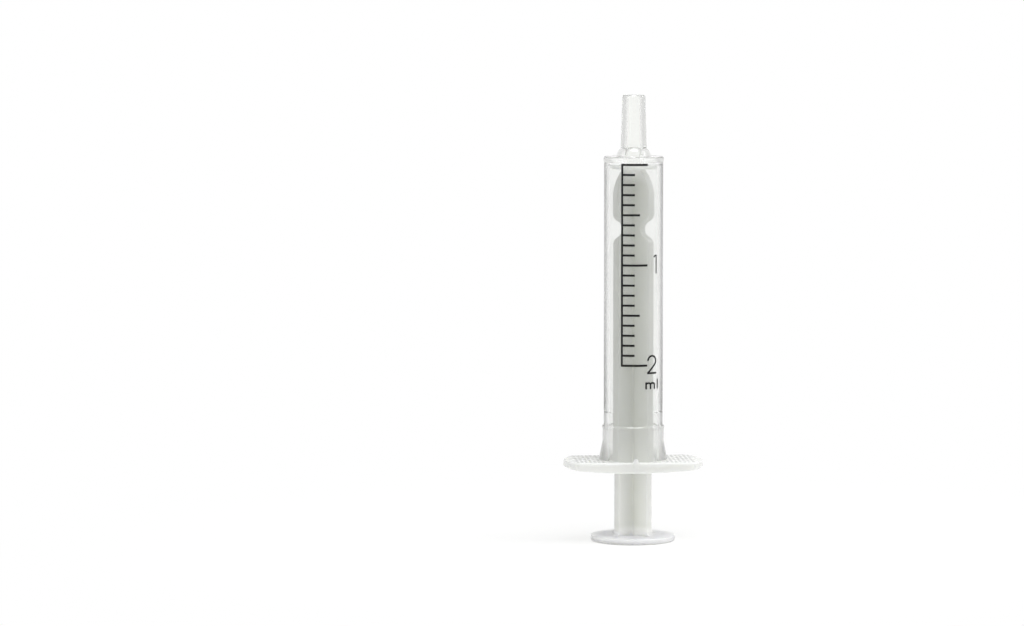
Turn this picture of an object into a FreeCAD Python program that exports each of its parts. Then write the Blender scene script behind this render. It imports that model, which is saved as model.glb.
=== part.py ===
import FreeCAD, Part

import math
import os

import Sketcher
from FreeCAD import Vector

# Two-piece luer slip syringe of 2 ml: a clear barrel with its printed scale, and a milky plunger.
# It stands nozzle up on its thumb rest, with the plunger pushed fully in. Sizes are in millimetres.
# The origin is the middle of the thumb rest's underside, +Z runs to the nozzle, and the finger
# flange lies along X.

SIZES = [
    # Tube of the barrel
    ("boreDiameter", 8.52),
    ("boreDepth", 53.9),
    ("tubeWall", 0.925),
    ("endWall", 1.3),
    ("shoulderStep", 0.09),
    ("shoulderHeight", 1.05),
    ("shoulderRound", 0.35),
    # Luer slip nozzle and the domed boss that it grows from
    ("nozzleTipDiameter", 3.98),
    ("nozzleLength", 9.3),
    ("nozzleTaper", 0.06),
    ("nozzleTipChamfer", 0.2),
    ("lumenTipDiameter", 2.1),
    ("lumenRootDiameter", 2.4),
    ("bossDiameter", 6.0),
    ("bossHeight", 1.4),
    # Flared foot with its stiffening collar
    ("flareDiameter", 12.0),
    ("flareHeight", 3.2),
    ("lowerTubeStep", 0.19),
    ("collarStep", 0.27),
    ("collarHeight", 0.7),
    ("collarRise", 5.5),
    # Finger flange
    ("flangeSpan", 24.5),
    ("flangeDepth", 12.8),
    ("flangeThickness", 1.9),
    ("flangeCamber", 0.75),
    ("flangeCornerRound", 1.2),
    ("flangeTopRound", 0.3),
    ("flangeFootChamfer", 0.12),
    # Stub of the moulding gate on the flange's front edge
    ("gateWidth", 0.9),
    ("gateHeadWidth", 0.72),
    ("gateHeight", 0.5),
    ("gateCrown", 0.15),
    ("gateRoot", 0.6),
    ("gateStand", 0.05),
    # Mouth of the bore and the bead that holds the plunger in
    ("mouthChamfer", 0.5),
    ("beadRise", 8.2),
    ("beadLength", 0.9),
    ("beadHeight", 0.08),
    # Plunger
    ("plungerLength", 66.3),
    ("seatGap", 0.1),
    ("thumbDiameter", 14.8),
    ("thumbThickness", 1.05),
    ("thumbFootRound", 0.5),
    ("thumbTopChamfer", 0.12),
    ("ribThickness", 1.3),
    ("ribClearance", 0.21),
    ("guideClearance", 0.13),
    ("ribRootRound", 0.3),
    ("footRound", 1.0),
    ("neckRadius", 2.1),
    ("taperLength", 4.85),
    ("guideLength", 3.0),
    ("waistRadius", 2.2),
    ("waistLength", 5.4),
    ("sealThickness", 0.65),
    ("sealClearance", 0.025),
    ("lipLand", 0.2),
    ("lipDepth", 0.35),
    ("plungerTurn", 40.0),
    # Printed scale, numbered at each millilitre and marked at each tenth
    ("millilitres", 2),
    ("markWidth", 0.38),
    ("spineWidth", 0.37),
    ("inkThickness", 0.03),
    ("shortMark", 2.45),
    ("middleMark", 3.35),
    ("longMark", 4.75),
    ("scaleTurn", -119.5),
]

# Cubic millimetres in a millilitre, marks in each, and ribs around the plunger's axis.
MILLILITRE = 1000
MARKS_PER_MILLILITRE = 10
RIB_COUNT = 4

# Distance by which a cutting profile runs past the solid that it opens.
CUT_PAST = 1.0

# Radii and heights that several features share, as formulas over the sheet. Heights on the barrel
# are measured from the middle of its underside, and those on the plunger from its thumb rest.
BORE_RADIUS = "(sizes.boreDiameter / 2)"
TUBE_RADIUS = f"({BORE_RADIUS} + sizes.tubeWall)"
BORE_END = "(sizes.plungerLength + sizes.seatGap)"
SHOULDER_TOP = "(sizes.boreDepth + sizes.endWall)"
BOSS_TOP = f"({SHOULDER_TOP} + sizes.bossHeight)"
NOZZLE_TIP = f"({BOSS_TOP} + sizes.nozzleLength)"
SEAL_FOOT = "(sizes.plungerLength - sizes.sealThickness)"
MILLILITRE_LENGTH = f"({MILLILITRE} / (pi * {BORE_RADIUS}^2))"

document = FreeCAD.newDocument("luer_slip_syringe")


def make_sheet():
    sheet = document.addObject("Spreadsheet::Sheet", "sizes")
    for row, (alias, value) in enumerate(SIZES, 1):
        sheet.set(f"A{row}", alias)
        sheet.set(f"B{row}", str(value))
        sheet.setAlias(f"B{row}", alias)
    document.recompute()


def new_body(label):
    body = document.addObject("PartDesign::Body", label)
    body.Label = label
    return body


def new_sketch(body, name, role):
    sketch = body.newObject("Sketcher::SketchObject", name)
    plane = next(item for item in body.Origin.OriginFeatures if item.Role == role)
    sketch.AttachmentSupport = (plane, "")
    sketch.MapMode = "FlatFace"
    document.recompute()
    return sketch


def value_of(sketch, formula):
    return float(sketch.evalExpression(formula))


def hold(sketch, kind, element, point, formula):
    """Ties one coordinate of a sketch point to a formula over the sheet."""
    value = value_of(sketch, formula)
    index = sketch.addConstraint(Sketcher.Constraint(kind, -1, 1, element, point, value))
    sketch.setExpression(f"Constraints[{index}]", formula)


def draw_circle(sketch, radius, height="0"):
    """Draws a circle that is centred on the sketch's vertical axis."""
    centre = Vector(0, value_of(sketch, height), 0)
    ring = sketch.addGeometry(Part.Circle(centre, Vector(0, 0, 1), value_of(sketch, radius)))
    hold(sketch, "DistanceX", ring, 3, "0")
    hold(sketch, "DistanceY", ring, 3, height)
    index = sketch.addConstraint(Sketcher.Constraint("Radius", ring, value_of(sketch, radius)))
    sketch.setExpression(f"Constraints[{index}]", radius)
    return sketch


def draw_outline(sketch, corners, arcs=None):
    """Draws a closed outline through corners given as pairs of formulas.

    A side that arcs names by its number is the short arc whose centre lies at one given coordinate,
    as in {3: ("DistanceY", formula)}. The other sides are straight.
    """
    arcs = arcs or {}
    points = [Vector(value_of(sketch, x), value_of(sketch, y), 0) for x, y in corners]
    ends = []
    for side, start in enumerate(points):
        finish = points[(side + 1) % len(points)]
        if side not in arcs:
            element = sketch.addGeometry(Part.LineSegment(start, finish))
            ends.append((element, 1, 2))
            continue
        kind, formula = arcs[side]
        centre = arc_centre(start, finish, kind, value_of(sketch, formula))
        turns_left = (start - centre).cross(finish - centre).z > 0
        first, last = (start, finish) if turns_left else (finish, start)
        angles = [math.atan2(p.y - centre.y, p.x - centre.x) for p in (first, last)]
        if angles[1] < angles[0]:
            angles[1] += 2 * math.pi
        circle = Part.Circle(centre, Vector(0, 0, 1), (start - centre).Length)
        element = sketch.addGeometry(Part.ArcOfCircle(circle, *angles))
        ends.append((element, 1, 2) if turns_left else (element, 2, 1))
    for side, (element, start_point, finish_point) in enumerate(ends):
        following = ends[(side + 1) % len(ends)]
        joint = Sketcher.Constraint("Coincident", element, finish_point, following[0], following[1])
        sketch.addConstraint(joint)
        hold(sketch, "DistanceX", element, start_point, corners[side][0])
        hold(sketch, "DistanceY", element, start_point, corners[side][1])
        if side in arcs:
            hold(sketch, arcs[side][0], element, 3, arcs[side][1])
    return sketch


def arc_centre(start, finish, kind, value):
    """Centre of the arc between two points, of which one coordinate is known."""
    middle = (start + finish) / 2
    chord = finish - start
    if kind == "DistanceY":
        return Vector(middle.x - (value - middle.y) * chord.y / chord.x, value, 0)
    return Vector(value, middle.y - (value - middle.x) * chord.x / chord.y, 0)


def revolve(body, name, sketch, kind="Revolution"):
    feature = body.newObject(f"PartDesign::{kind}", name)
    feature.Profile = sketch
    feature.ReferenceAxis = (sketch, ["V_Axis"])
    feature.Angle = 360
    document.recompute()
    return feature


def pad(body, name, sketch, length, both_sides=False):
    feature = body.newObject("PartDesign::Pad", name)
    feature.Profile = sketch
    feature.setExpression("Length", length)
    if both_sides:
        feature.SideType = "Symmetric"
    document.recompute()
    return feature


def dress(body, name, base, size, wanted, kind="Fillet"):
    """Rounds or chamfers the edges of base that the function wanted picks."""
    edges = [f"Edge{i}" for i, edge in enumerate(base.Shape.Edges, 1) if wanted(edge)]
    feature = body.newObject(f"PartDesign::{kind}", name)
    feature.Base = (base, edges)
    feature.setExpression("Radius" if kind == "Fillet" else "Size", size)
    document.recompute()
    return feature


def place(body, height, turn):
    """Stands a sub-part on the common axis at a height, turned about it by an angle in degrees."""
    body.setExpression("Placement", f"placement(vector(0; 0; {height}); rotation(vector(0; 0; 1); {turn}))")


def is_upright(edge):
    box = edge.BoundBox
    return box.XLength < 1e-6 and box.YLength < 1e-6


def lies_at(height):
    """Makes a test for edges that lie level at a height."""
    return lambda edge: abs(edge.BoundBox.ZMin - height) < 1e-5 and edge.BoundBox.ZLength < 1e-5


def make_flange(body):
    """Oblong finger flange with a flat top and a cambered underside, thinner at its two ends."""
    reach = "(sizes.flangeSpan / 2)"
    side_view = draw_outline(
        new_sketch(body, "flange_side_view", "XZ_Plane"),
        [
            (f"-{reach}", "sizes.flangeCamber"),
            ("0", "0"),
            (reach, "sizes.flangeCamber"),
            (reach, "sizes.flangeThickness"),
            (f"-{reach}", "sizes.flangeThickness"),
        ],
        {0: ("DistanceX", "0"), 1: ("DistanceX", "0")},
    )
    plate = pad(body, "flange_plate", side_view, "sizes.flangeDepth", both_sides=True)

    plan = new_sketch(body, "flange_plan", "XY_Plane")
    past = f"({reach} + {CUT_PAST})"
    draw_outline(plan, [(f"-{past}", f"-{past}"), (past, f"-{past}"), (past, past), (f"-{past}", past)])
    draw_circle(plan, reach)
    ends = body.newObject("PartDesign::Pocket", "flange_round_ends")
    ends.Profile = plan
    ends.Type = "ThroughAll"
    ends.Reversed = True
    document.recompute()
    require_less(ends, plate)

    corners = dress(body, "flange_corners", ends, "sizes.flangeCornerRound", is_upright)
    top = value_of(side_view, "sizes.flangeThickness")
    rounded = dress(body, "flange_top_rim", corners, "sizes.flangeTopRound", lies_at(top))
    foot_top = value_of(side_view, "sizes.flangeCamber")

    def is_foot_rim(edge):
        box = edge.BoundBox
        return box.ZMax < foot_top + 1e-5 and box.XLength > 1e-5

    dress(body, "flange_foot_rim", rounded, "sizes.flangeFootChamfer", is_foot_rim, "Chamfer")


def require_less(cut, base):
    if cut.Shape.Volume > base.Shape.Volume - 1e-3:
        raise RuntimeError(f"{cut.Label} removes nothing")


def make_barrel():
    body = new_body("barrel")
    make_flange(body)

    middle = "(sizes.flangeThickness / 2)"
    flare = "(sizes.flareDiameter / 2)"
    lower_tube = f"({TUBE_RADIUS} + sizes.lowerTubeStep)"
    collar = f"({TUBE_RADIUS} + sizes.collarStep)"
    collar_foot = "(sizes.flangeThickness + sizes.collarRise)"
    collar_top = f"({collar_foot} + sizes.collarHeight)"
    shoulder = f"({TUBE_RADIUS} + sizes.shoulderStep)"
    cone_foot = "((sizes.nozzleTipDiameter + sizes.nozzleTaper * sizes.nozzleLength) / 2)"
    cone_tip = "((sizes.nozzleTipDiameter + sizes.nozzleTaper * sizes.nozzleTipChamfer) / 2)"
    outside = draw_outline(
        new_sketch(body, "outside_profile", "XZ_Plane"),
        [
            ("0", middle),
            (flare, middle),
            (flare, "sizes.flangeThickness"),
            (lower_tube, "sizes.flangeThickness + sizes.flareHeight"),
            (lower_tube, collar_foot),
            (collar, f"{collar_foot} + sizes.collarStep - sizes.lowerTubeStep"),
            (collar, f"{collar_top} - sizes.collarStep"),
            (TUBE_RADIUS, collar_top),
            (TUBE_RADIUS, f"{SHOULDER_TOP} - sizes.shoulderHeight"),
            (shoulder, f"{SHOULDER_TOP} - sizes.shoulderHeight + sizes.shoulderStep"),
            (shoulder, f"{SHOULDER_TOP} - sizes.shoulderRound"),
            (f"{shoulder} - sizes.shoulderRound", SHOULDER_TOP),
            ("sizes.bossDiameter / 2", SHOULDER_TOP),
            (cone_foot, BOSS_TOP),
            (cone_tip, f"{NOZZLE_TIP} - sizes.nozzleTipChamfer"),
            (f"{cone_tip} - sizes.nozzleTipChamfer", NOZZLE_TIP),
            ("0", NOZZLE_TIP),
        ],
        {
            10: ("DistanceY", f"{SHOULDER_TOP} - sizes.shoulderRound"),
            12: ("DistanceY", SHOULDER_TOP),
        },
    )
    revolve(body, "outside", outside)

    gate = new_sketch(body, "gate_outline", "XZ_Plane")
    gate.setExpression("AttachmentOffset.Base.z", f"{flare} - sizes.gateRoot")
    gate_foot = "(sizes.gateWidth / 2)"
    gate_head = "(sizes.gateHeadWidth / 2)"
    spring = "(sizes.flangeThickness + sizes.gateHeight)"
    draw_outline(
        gate,
        [(f"-{gate_foot}", middle), (gate_foot, middle), (gate_head, spring), (f"-{gate_head}", spring)],
        {2: ("DistanceY", f"{spring} - sizes.gateCrown")},
    )
    reach = f"sizes.flangeDepth / 2 + sizes.gateStand - {flare} + sizes.gateRoot"
    filled = pad(body, "gate_stub", gate, reach)

    bead_middle = "(sizes.flangeThickness + sizes.beadRise)"
    bead_half = "(sizes.beadLength / 2)"
    bead_radius = f"(({bead_half}^2 + sizes.beadHeight^2) / (2 * sizes.beadHeight))"
    inside = draw_outline(
        new_sketch(body, "inside_profile", "XZ_Plane"),
        [
            ("0", f"-{CUT_PAST}"),
            (f"{BORE_RADIUS} + sizes.mouthChamfer", f"-{CUT_PAST}"),
            (f"{BORE_RADIUS} + sizes.mouthChamfer", "0"),
            (BORE_RADIUS, "sizes.mouthChamfer"),
            (BORE_RADIUS, f"{bead_middle} - {bead_half}"),
            (BORE_RADIUS, f"{bead_middle} + {bead_half}"),
            (BORE_RADIUS, "sizes.boreDepth"),
            ("sizes.lumenRootDiameter / 2", "sizes.boreDepth"),
            ("sizes.lumenTipDiameter / 2", NOZZLE_TIP),
            ("sizes.lumenTipDiameter / 2", f"{NOZZLE_TIP} + {CUT_PAST}"),
            ("0", f"{NOZZLE_TIP} + {CUT_PAST}"),
        ],
        {4: ("DistanceX", f"{BORE_RADIUS} - sizes.beadHeight + {bead_radius}")},
    )
    bore = revolve(body, "bore_and_lumen", inside, "Groove")
    require_less(bore, filled)
    place(body, f"{BORE_END} - sizes.boreDepth", "0")
    return body


def make_plunger():
    body = new_body("plunger")

    # Thumb rest
    disc = draw_circle(new_sketch(body, "thumb_circle", "XY_Plane"), "sizes.thumbDiameter / 2")
    plate = pad(body, "thumb_plate", disc, "sizes.thumbThickness")
    rounded = dress(body, "thumb_foot_rim", plate, "sizes.thumbFootRound", lies_at(0))
    top = value_of(plate.Profile[0], "sizes.thumbThickness")
    dress(body, "thumb_top_rim", rounded, "sizes.thumbTopChamfer", lies_at(top), "Chamfer")

    # One rib seen from the side, from the axis out to its waisted edge
    shaft = f"({BORE_RADIUS} - sizes.ribClearance)"
    guide = f"({BORE_RADIUS} - sizes.guideClearance)"
    guide_top = f"({SEAL_FOOT} - sizes.taperLength)"
    guide_foot = f"({guide_top} - sizes.guideLength)"
    waist_middle = f"({guide_foot} - sizes.waistLength / 2)"
    waist_foot = f"({guide_foot} - sizes.waistLength)"
    rib_foot = "sizes.thumbThickness"
    rib_view = draw_outline(
        new_sketch(body, "rib_side_view", "XZ_Plane"),
        [
            ("0", f"{rib_foot} / 2"),
            (f"{shaft} + sizes.footRound", f"{rib_foot} / 2"),
            (f"{shaft} + sizes.footRound", rib_foot),
            (shaft, f"{rib_foot} + sizes.footRound"),
            (shaft, waist_foot),
            (f"({shaft} + sizes.waistRadius) / 2", f"({waist_foot} + {waist_middle}) / 2"),
            ("sizes.waistRadius", waist_middle),
            (f"({guide} + sizes.waistRadius) / 2", f"({guide_foot} + {waist_middle}) / 2"),
            (guide, guide_foot),
            (guide, guide_top),
            ("sizes.neckRadius", SEAL_FOOT),
            ("sizes.neckRadius", f"{SEAL_FOOT} + sizes.sealThickness / 2"),
            ("0", f"{SEAL_FOOT} + sizes.sealThickness / 2"),
        ],
        {
            2: ("DistanceY", f"{rib_foot} + sizes.footRound"),
            4: ("DistanceY", waist_foot),
            5: ("DistanceY", waist_middle),
            6: ("DistanceY", waist_middle),
            7: ("DistanceY", guide_foot),
            9: ("DistanceY", guide_top),
        },
    )
    rib = pad(body, "rib", rib_view, "sizes.ribThickness", both_sides=True)
    ribs = body.newObject("PartDesign::PolarPattern", "ribs")
    ribs.Originals = [rib]
    ribs.Axis = (rib_view, ["V_Axis"])
    ribs.Angle = 360
    ribs.Occurrences = RIB_COUNT
    body.Tip = ribs
    document.recompute()

    # Rounded roots where neighbouring ribs meet
    root = value_of(rib_view, "sizes.ribThickness") / math.sqrt(2)

    def is_rib_root(edge):
        centre = edge.BoundBox.Center
        return is_upright(edge) and abs(math.hypot(centre.x, centre.y) - root) < 1e-4

    dress(body, "rib_roots", ribs, "sizes.ribRootRound", is_rib_root)

    # Sealing disc with a thin lip that wipes the bore
    seal_radius = f"({BORE_RADIUS} - sizes.sealClearance)"
    seal_view = draw_outline(
        new_sketch(body, "seal_profile", "XZ_Plane"),
        [
            ("0", SEAL_FOOT),
            (f"{seal_radius} - sizes.lipDepth", SEAL_FOOT),
            (seal_radius, "sizes.plungerLength - sizes.lipLand"),
            (seal_radius, "sizes.plungerLength"),
            ("0", "sizes.plungerLength"),
        ],
    )
    revolve(body, "seal", seal_view)
    place(body, "0", "sizes.plungerTurn")
    return body


def add_strip(body, name, foot, top, width):
    """Strip of ink bent around the tube from the print's left edge."""
    outer = f"({TUBE_RADIUS} + sizes.inkThickness)"
    section = draw_outline(
        new_sketch(body, f"{name}_section", "XZ_Plane"),
        [(TUBE_RADIUS, foot), (outer, foot), (outer, top), (TUBE_RADIUS, top)],
    )
    strip = revolve(body, name, section)
    strip.setExpression("Angle", f"{width} / {TUBE_RADIUS} * 180 / pi")
    document.recompute()
    return strip


def add_marks(body, name, first, spacing, count, width):
    """Marks of one width, from the first one down; both distances are in millilitres."""
    level = f"(0 - {first} * {MILLILITRE_LENGTH})"
    half_mark = "(sizes.markWidth / 2)"
    mark = add_strip(body, name, f"{level} - {half_mark}", f"{level} + {half_mark}", width)
    marks = body.newObject("PartDesign::LinearPattern", f"{name}s")
    marks.Originals = [mark]
    marks.Direction = (mark.Profile[0], ["V_Axis"])
    marks.Reversed = True
    marks.setExpression("Length", f"(({count}) - 1) * {spacing} * {MILLILITRE_LENGTH}")
    marks.setExpression("Occurrences", count)
    body.Tip = marks
    document.recompute()


def make_scale_print():
    """Comb of ink on the tube: a spine with marks that are longer at halves and at whole numbers."""
    body = new_body("scale_print")
    foot = f"0 - sizes.millilitres * {MILLILITRE_LENGTH} - sizes.markWidth / 2"
    add_strip(body, "spine", foot, "sizes.markWidth / 2", "sizes.spineWidth")
    tenth = 1 / MARKS_PER_MILLILITRE
    count = f"{MARKS_PER_MILLILITRE} * sizes.millilitres + 1"
    add_marks(body, "short_mark", 0, tenth, count, "sizes.shortMark")
    add_marks(body, "middle_mark", 0.5, 1, "sizes.millilitres", "sizes.middleMark")
    add_marks(body, "long_mark", 0, 1, "sizes.millilitres + 1", "sizes.longMark")
    place(body, BORE_END, "sizes.scaleTurn")
    return body


def check(objects):
    for item in document.Objects:
        if {"Invalid", "Error"} & set(item.State):
            raise RuntimeError(f"{item.Label} failed: {item.State}")
    for item in objects:
        if item.Shape.isNull() or not item.Shape.isValid() or len(item.Shape.Solids) != 1:
            raise RuntimeError(f"{item.Label} has no single valid solid")


make_sheet()
subparts = [make_barrel(), make_plunger(), make_scale_print()]
document.recompute()
check(subparts)
os.makedirs("parts", exist_ok=True)
for subpart in subparts:
    subpart.Shape.exportStep(f"parts/{subpart.Label}.step")
    box = subpart.Shape.BoundBox
    print(subpart.Label, round(subpart.Shape.Volume, 2), box)
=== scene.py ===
import math

import bmesh
import bpy
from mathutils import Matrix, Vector


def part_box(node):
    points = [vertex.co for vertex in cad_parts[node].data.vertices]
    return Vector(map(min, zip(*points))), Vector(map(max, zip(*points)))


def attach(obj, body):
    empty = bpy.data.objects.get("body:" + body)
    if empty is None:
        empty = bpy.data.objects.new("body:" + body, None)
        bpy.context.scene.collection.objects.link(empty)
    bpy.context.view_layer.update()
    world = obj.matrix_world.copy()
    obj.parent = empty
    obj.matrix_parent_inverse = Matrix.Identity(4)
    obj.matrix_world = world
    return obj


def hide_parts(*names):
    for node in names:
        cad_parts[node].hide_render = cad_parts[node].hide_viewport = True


# Luer slip syringe of 2 ml, nozzle up on its thumb rest, with the plunger pushed fully in.
# Lengths in the dictionaries are in millimetres and angles in degrees, like the drawing's.

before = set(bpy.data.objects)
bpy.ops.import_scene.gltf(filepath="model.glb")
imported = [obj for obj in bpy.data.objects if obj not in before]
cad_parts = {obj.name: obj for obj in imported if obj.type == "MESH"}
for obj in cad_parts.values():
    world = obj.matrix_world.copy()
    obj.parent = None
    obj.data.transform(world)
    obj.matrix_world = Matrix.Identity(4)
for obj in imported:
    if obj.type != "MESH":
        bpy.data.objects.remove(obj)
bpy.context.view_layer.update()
mm = 0.001

barrelLow, barrelHigh = (corner / mm for corner in map(Vector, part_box("barrel")))
plungerLow, plungerHigh = (corner / mm for corner in map(Vector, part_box("plunger")))

barrel = {
    "segments": 480,  # points around each ring
    "boreRadius": 4.26,
    "tubeRadius": 5.185,
    "flangeFoot": barrelLow.z,
    "flangeThickness": 1.9,
    "flangeCamber": 0.75,
    "flangeReach": barrelHigh.x,
    "flangeHalfDepth": barrelHigh.y,
    "cornerRound": 1.2,
    "topRound": 0.3,
    "footChamfer": 0.12,
    "mouthChamfer": 0.5,
    "flareRadius": 6.0,
    "flareHeight": 3.2,
    "lowerTubeStep": 0.19,
    "collarStep": 0.27,
    "collarRise": 5.5,
    "collarHeight": 0.7,
    "boreEnd": plungerHigh.z + 0.1,
    "endWall": 1.3,
    "shoulderStep": 0.09,
    "shoulderHeight": 1.05,
    "shoulderRound": 0.35,
    "bossRadius": 3.0,
    "bossHeight": 1.4,
    "nozzleTip": barrelHigh.z,
    "nozzleTipRadius": 1.99,
    "nozzleTaper": 0.06,
    "nozzleTipChamfer": 0.2,
    "lumenTipRadius": 1.05,
    "lumenRootRadius": 1.2,
    "beadRise": 8.2,
    "beadLength": 0.9,
    "beadHeight": 0.08,
    "edge": 0.05,  # round on small edges
    "softEdge": 0.1,
    "rootRound": 0.15,
    "flareRound": 0.8,
    "tipRound": 0.06,
    "bossRise": 0.12,  # where the boss's dome starts above the shoulder
    "mouthLead": 0.2,  # ring inside the mouth's chamfer
}

fingerGrip = {
    "pitch": 0.75,
    "radius": 0.33,
    "height": 0.06,
    "from": 5.3,  # the dots lie between two distances along X
    "to": 10.4,
    "halfDepth": 5.8,
    "fade": 0.3,  # width over which their shade ends
}
gateStub = {
    "halfWidth": 0.45,
    "height": 0.65,
    "stand": 0.05,  # how far it stands out of the flange's front
    "footRise": 0.3,  # its foot above the middle of the flange's edge
    "footShare": 0.001,
    "topShare": 0.1,  # share of its height below the flange's upper round
}


def rounded(corners, stepDegrees=15):
    # profile of (radius, height, round) corners, each replaced by an arc of its round
    path = []
    limit = 0.45  # largest share of a side that an arc takes
    for i, (r, z, radius) in enumerate(corners):
        here = Vector((r, z))
        if radius == 0 or i in (0, len(corners) - 1):
            path.append(here)
            continue
        back = Vector(corners[i - 1][:2]) - here
        ahead = Vector(corners[i + 1][:2]) - here
        half = back.angle(ahead) / 2
        reach = min(radius / math.tan(half), limit * back.length, limit * ahead.length)
        centre = here + (back.normalized() + ahead.normalized()).normalized() * (reach / math.cos(half))
        first = here + back.normalized() * reach - centre
        last = here + ahead.normalized() * reach - centre
        turn = first.angle_signed(last)
        steps = max(2, math.ceil(abs(math.degrees(turn)) / stepDegrees))
        for k in range(steps + 1):
            angle = -turn * k / steps
            cosine, sine = math.cos(angle), math.sin(angle)
            arm = Vector((first.x * cosine - first.y * sine, first.x * sine + first.y * cosine))
            path.append(centre + arm)
    return path


def bowed(r1, z1, r2, z2, zCentre):
    # radius at each height of the arc through two points whose centre lies at zCentre
    centre = (r1 * r1 + (z1 - zCentre) ** 2 - r2 * r2 - (z2 - zCentre) ** 2) / (2 * (r1 - r2))
    size = math.hypot(r1 - centre, z1 - zCentre)
    side = 1 if r1 + r2 > 2 * centre else -1
    return lambda z: centre + side * math.sqrt(max(size * size - (z - zCentre) ** 2, 0))


def spread(first, last, count):
    return [first + (last - first) * i / (count - 1) for i in range(count)]


def skin(name, rings, closed=False):
    # one skin through rings of points; a ring of a single point ends it in a fan of faces
    points, faces, starts = [], [], []
    for ring in rings:
        starts.append(len(points))
        points += [(x * mm, y * mm, z * mm) for x, y, z in ring]
    pairs = list(zip(range(len(rings) - 1), range(1, len(rings))))
    if closed:
        pairs.append((len(rings) - 1, 0))
    for a, b in pairs:
        countA, countB = len(rings[a]), len(rings[b])
        count = max(countA, countB)
        for i in range(count):
            j = (i + 1) % count
            corners = [
                starts[a] + i % countA, starts[a] + j % countA,
                starts[b] + j % countB, starts[b] + i % countB,
            ]
            faces.append(tuple(dict.fromkeys(corners)))
    mesh = bpy.data.meshes.new(name)
    mesh.from_pydata(points, [], faces)
    work = bmesh.new()
    work.from_mesh(mesh)
    bmesh.ops.recalc_face_normals(work, faces=work.faces)
    work.to_mesh(mesh)
    work.free()
    mesh.shade_smooth()
    piece = bpy.data.objects.new(name, mesh)
    bpy.context.scene.collection.objects.link(piece)
    return piece


def flangeRadius(angle, inset):
    # distance from the axis to the flange's outline, drawn inset, in one direction
    c, s = abs(math.cos(angle)), abs(math.sin(angle))
    depth, reach, corner = barrel["flangeHalfDepth"], barrel["flangeReach"], barrel["cornerRound"]
    cornerY = depth - corner
    cornerX = math.sqrt((reach - corner) ** 2 - cornerY ** 2)
    if s * cornerX >= c * (depth - inset):
        return (depth - inset) / s
    if s * cornerX <= c * cornerY:
        return reach - inset
    along = cornerX * c + cornerY * s
    return along + math.sqrt((corner - inset) ** 2 - cornerX ** 2 - cornerY ** 2 + along ** 2)


def gripLift(x, y):
    # height of the raised dots on the flange's upper face
    if not fingerGrip["from"] < abs(x) < fingerGrip["to"] or abs(y) > fingerGrip["halfDepth"]:
        return 0
    pitch = fingerGrip["pitch"]
    dx, dy = x - round(x / pitch) * pitch, y - round(y / pitch) * pitch
    rest = 1 - (dx * dx + dy * dy) / fingerGrip["radius"] ** 2
    return fingerGrip["height"] * rest * rest if rest > 0 else 0


def gateShape(x, y):
    # share of the gate stub's height at a place on the flange, 0 beside it
    across = abs(x) / gateStub["halfWidth"]
    return math.sqrt(1 - across ** 4) if y < 0 and across < 1 else 0


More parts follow.
